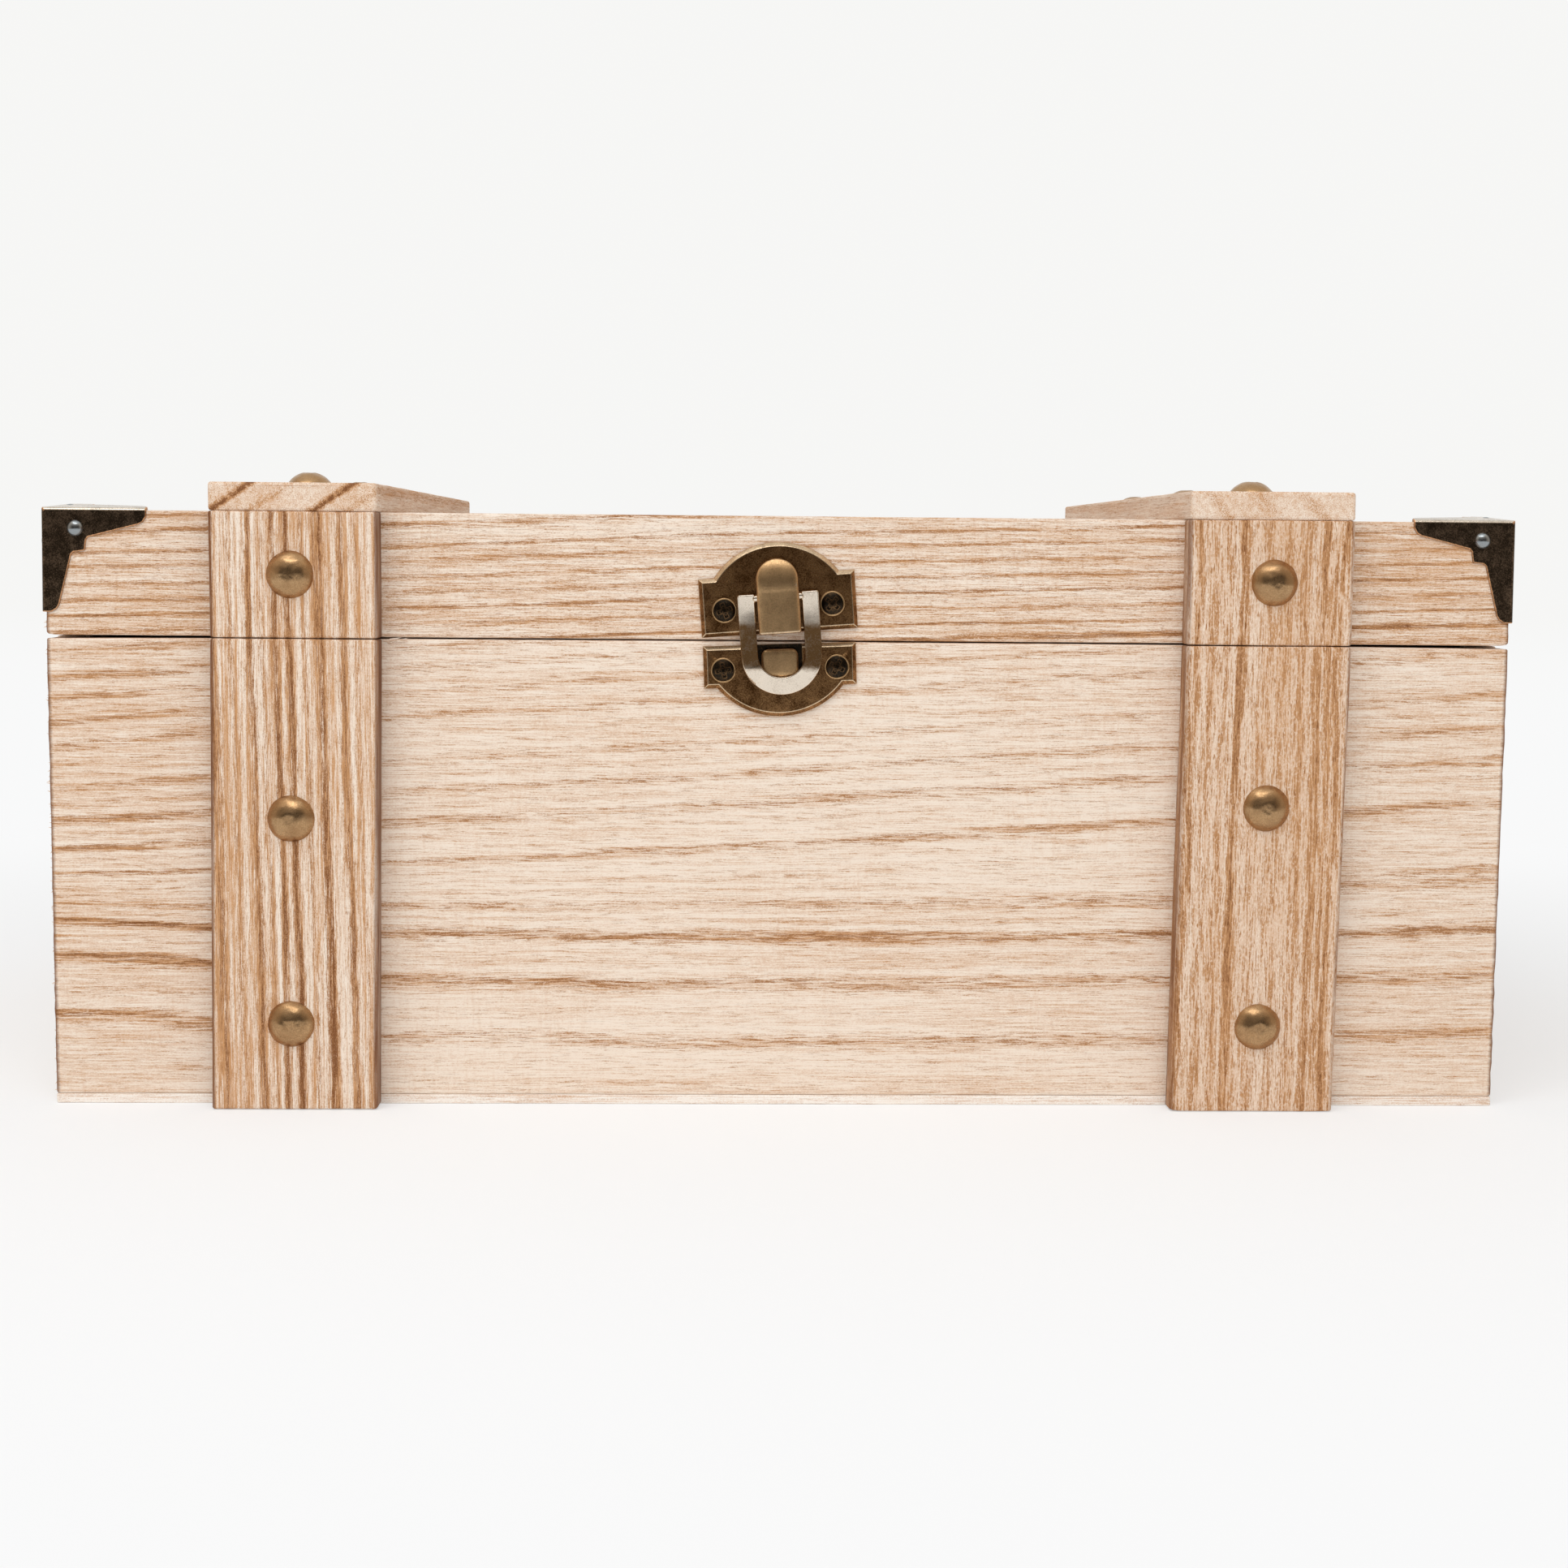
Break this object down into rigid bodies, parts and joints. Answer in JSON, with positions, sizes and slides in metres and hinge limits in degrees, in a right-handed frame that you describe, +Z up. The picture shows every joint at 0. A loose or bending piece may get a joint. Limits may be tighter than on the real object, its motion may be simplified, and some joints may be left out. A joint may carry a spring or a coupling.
{
  "type": "keepsake chest",
  "caption": "Wooden keepsake chest with strap battens, dome-headed nails, corner brackets, a lid hinged at the back and a toggle clasp at the front.",
  "frame": {"origin": "on the floor, under the middle of the whole chest's box", "axes": "+X to the right seen from the front, +Y to the back, +Z up"},
  "size_m": [0.359, 0.2124, 0.155],
  "materials": {
    "pale_wood": "raw sawn pale wood with brown streaks",
    "antique_bronze": "antique bronze, worn bright on the edges",
    "dark_bronze": "dark bronze sheet with coppery edges",
    "antique_brass": "antique brass, dented and worn",
    "bright_steel": "bright steel",
    "dark_screws": "dark bronzed steel"
  },
  "bodies": {
    "box": {"front_panel": "pale_wood", "back_panel": "pale_wood", "left_end_panel": "pale_wood", "right_end_panel": "pale_wood", "bottom_panel": "pale_wood", "front_batten_left": "pale_wood", "front_batten_right": "pale_wood", "front_batten_nails": "antique_brass", "hook_plate": "antique_bronze", "hook_plate_screws": "dark_screws", "hinge_left_lower_leaf": "antique_bronze", "hinge_right_lower_leaf": "antique_bronze", "hinge_left_pin": "antique_bronze", "hinge_right_pin": "antique_bronze", "hinge_lower_screws": "dark_screws"},
    "lid": {"lid_front_rail": "pale_wood", "lid_back_rail": "pale_wood", "lid_left_rail": "pale_wood", "lid_right_rail": "pale_wood", "lid_top_panel": "pale_wood", "lid_front_batten_left": "pale_wood", "lid_front_batten_right": "pale_wood", "top_batten_left": "pale_wood", "top_batten_right": "pale_wood", "lid_front_batten_nails": "antique_brass", "top_batten_nails": "antique_brass", "corner_bracket_front_left": "dark_bronze", "corner_bracket_front_right": "dark_bronze", "corner_bracket_back_left": "dark_bronze", "corner_bracket_back_right": "dark_bronze", "corner_bracket_nails": "bright_steel", "hinge_left_upper_leaf": "antique_bronze", "hinge_right_upper_leaf": "antique_bronze", "hinge_upper_screws": "dark_screws", "latch_plate": "antique_bronze", "latch_plate_screws": "dark_screws", "lever_pin": "antique_bronze"},
    "lever": {"latch_lever": "antique_bronze"},
    "bail": {"bail": "antique_bronze"}
  },
  "joints": [
    {"name": "lid_hinge", "type": "hinge", "parent": "box", "child": "lid", "pos_m": [0, 0.1042, 0.11475], "axis": [-1, 0, 0], "range_deg": [0, 180]},
    {"name": "lever_pivot", "type": "hinge", "parent": "lid", "child": "lever", "pos_m": [-0.00109, -0.1002, 0.11869], "axis": [0.9973, 0, 0.0732], "range_deg": [0, 90]},
    {"name": "bail_pivot", "type": "hinge", "parent": "lever", "child": "bail", "pos_m": [-0.00159, -0.0996, 0.12545], "axis": [0.9973, 0, 0.0732], "range_deg": [-90, 0]}
  ],
  "couplings": [
    {"joint": "bail_pivot", "follows": "lever_pivot", "ratio": -1}
  ]
}
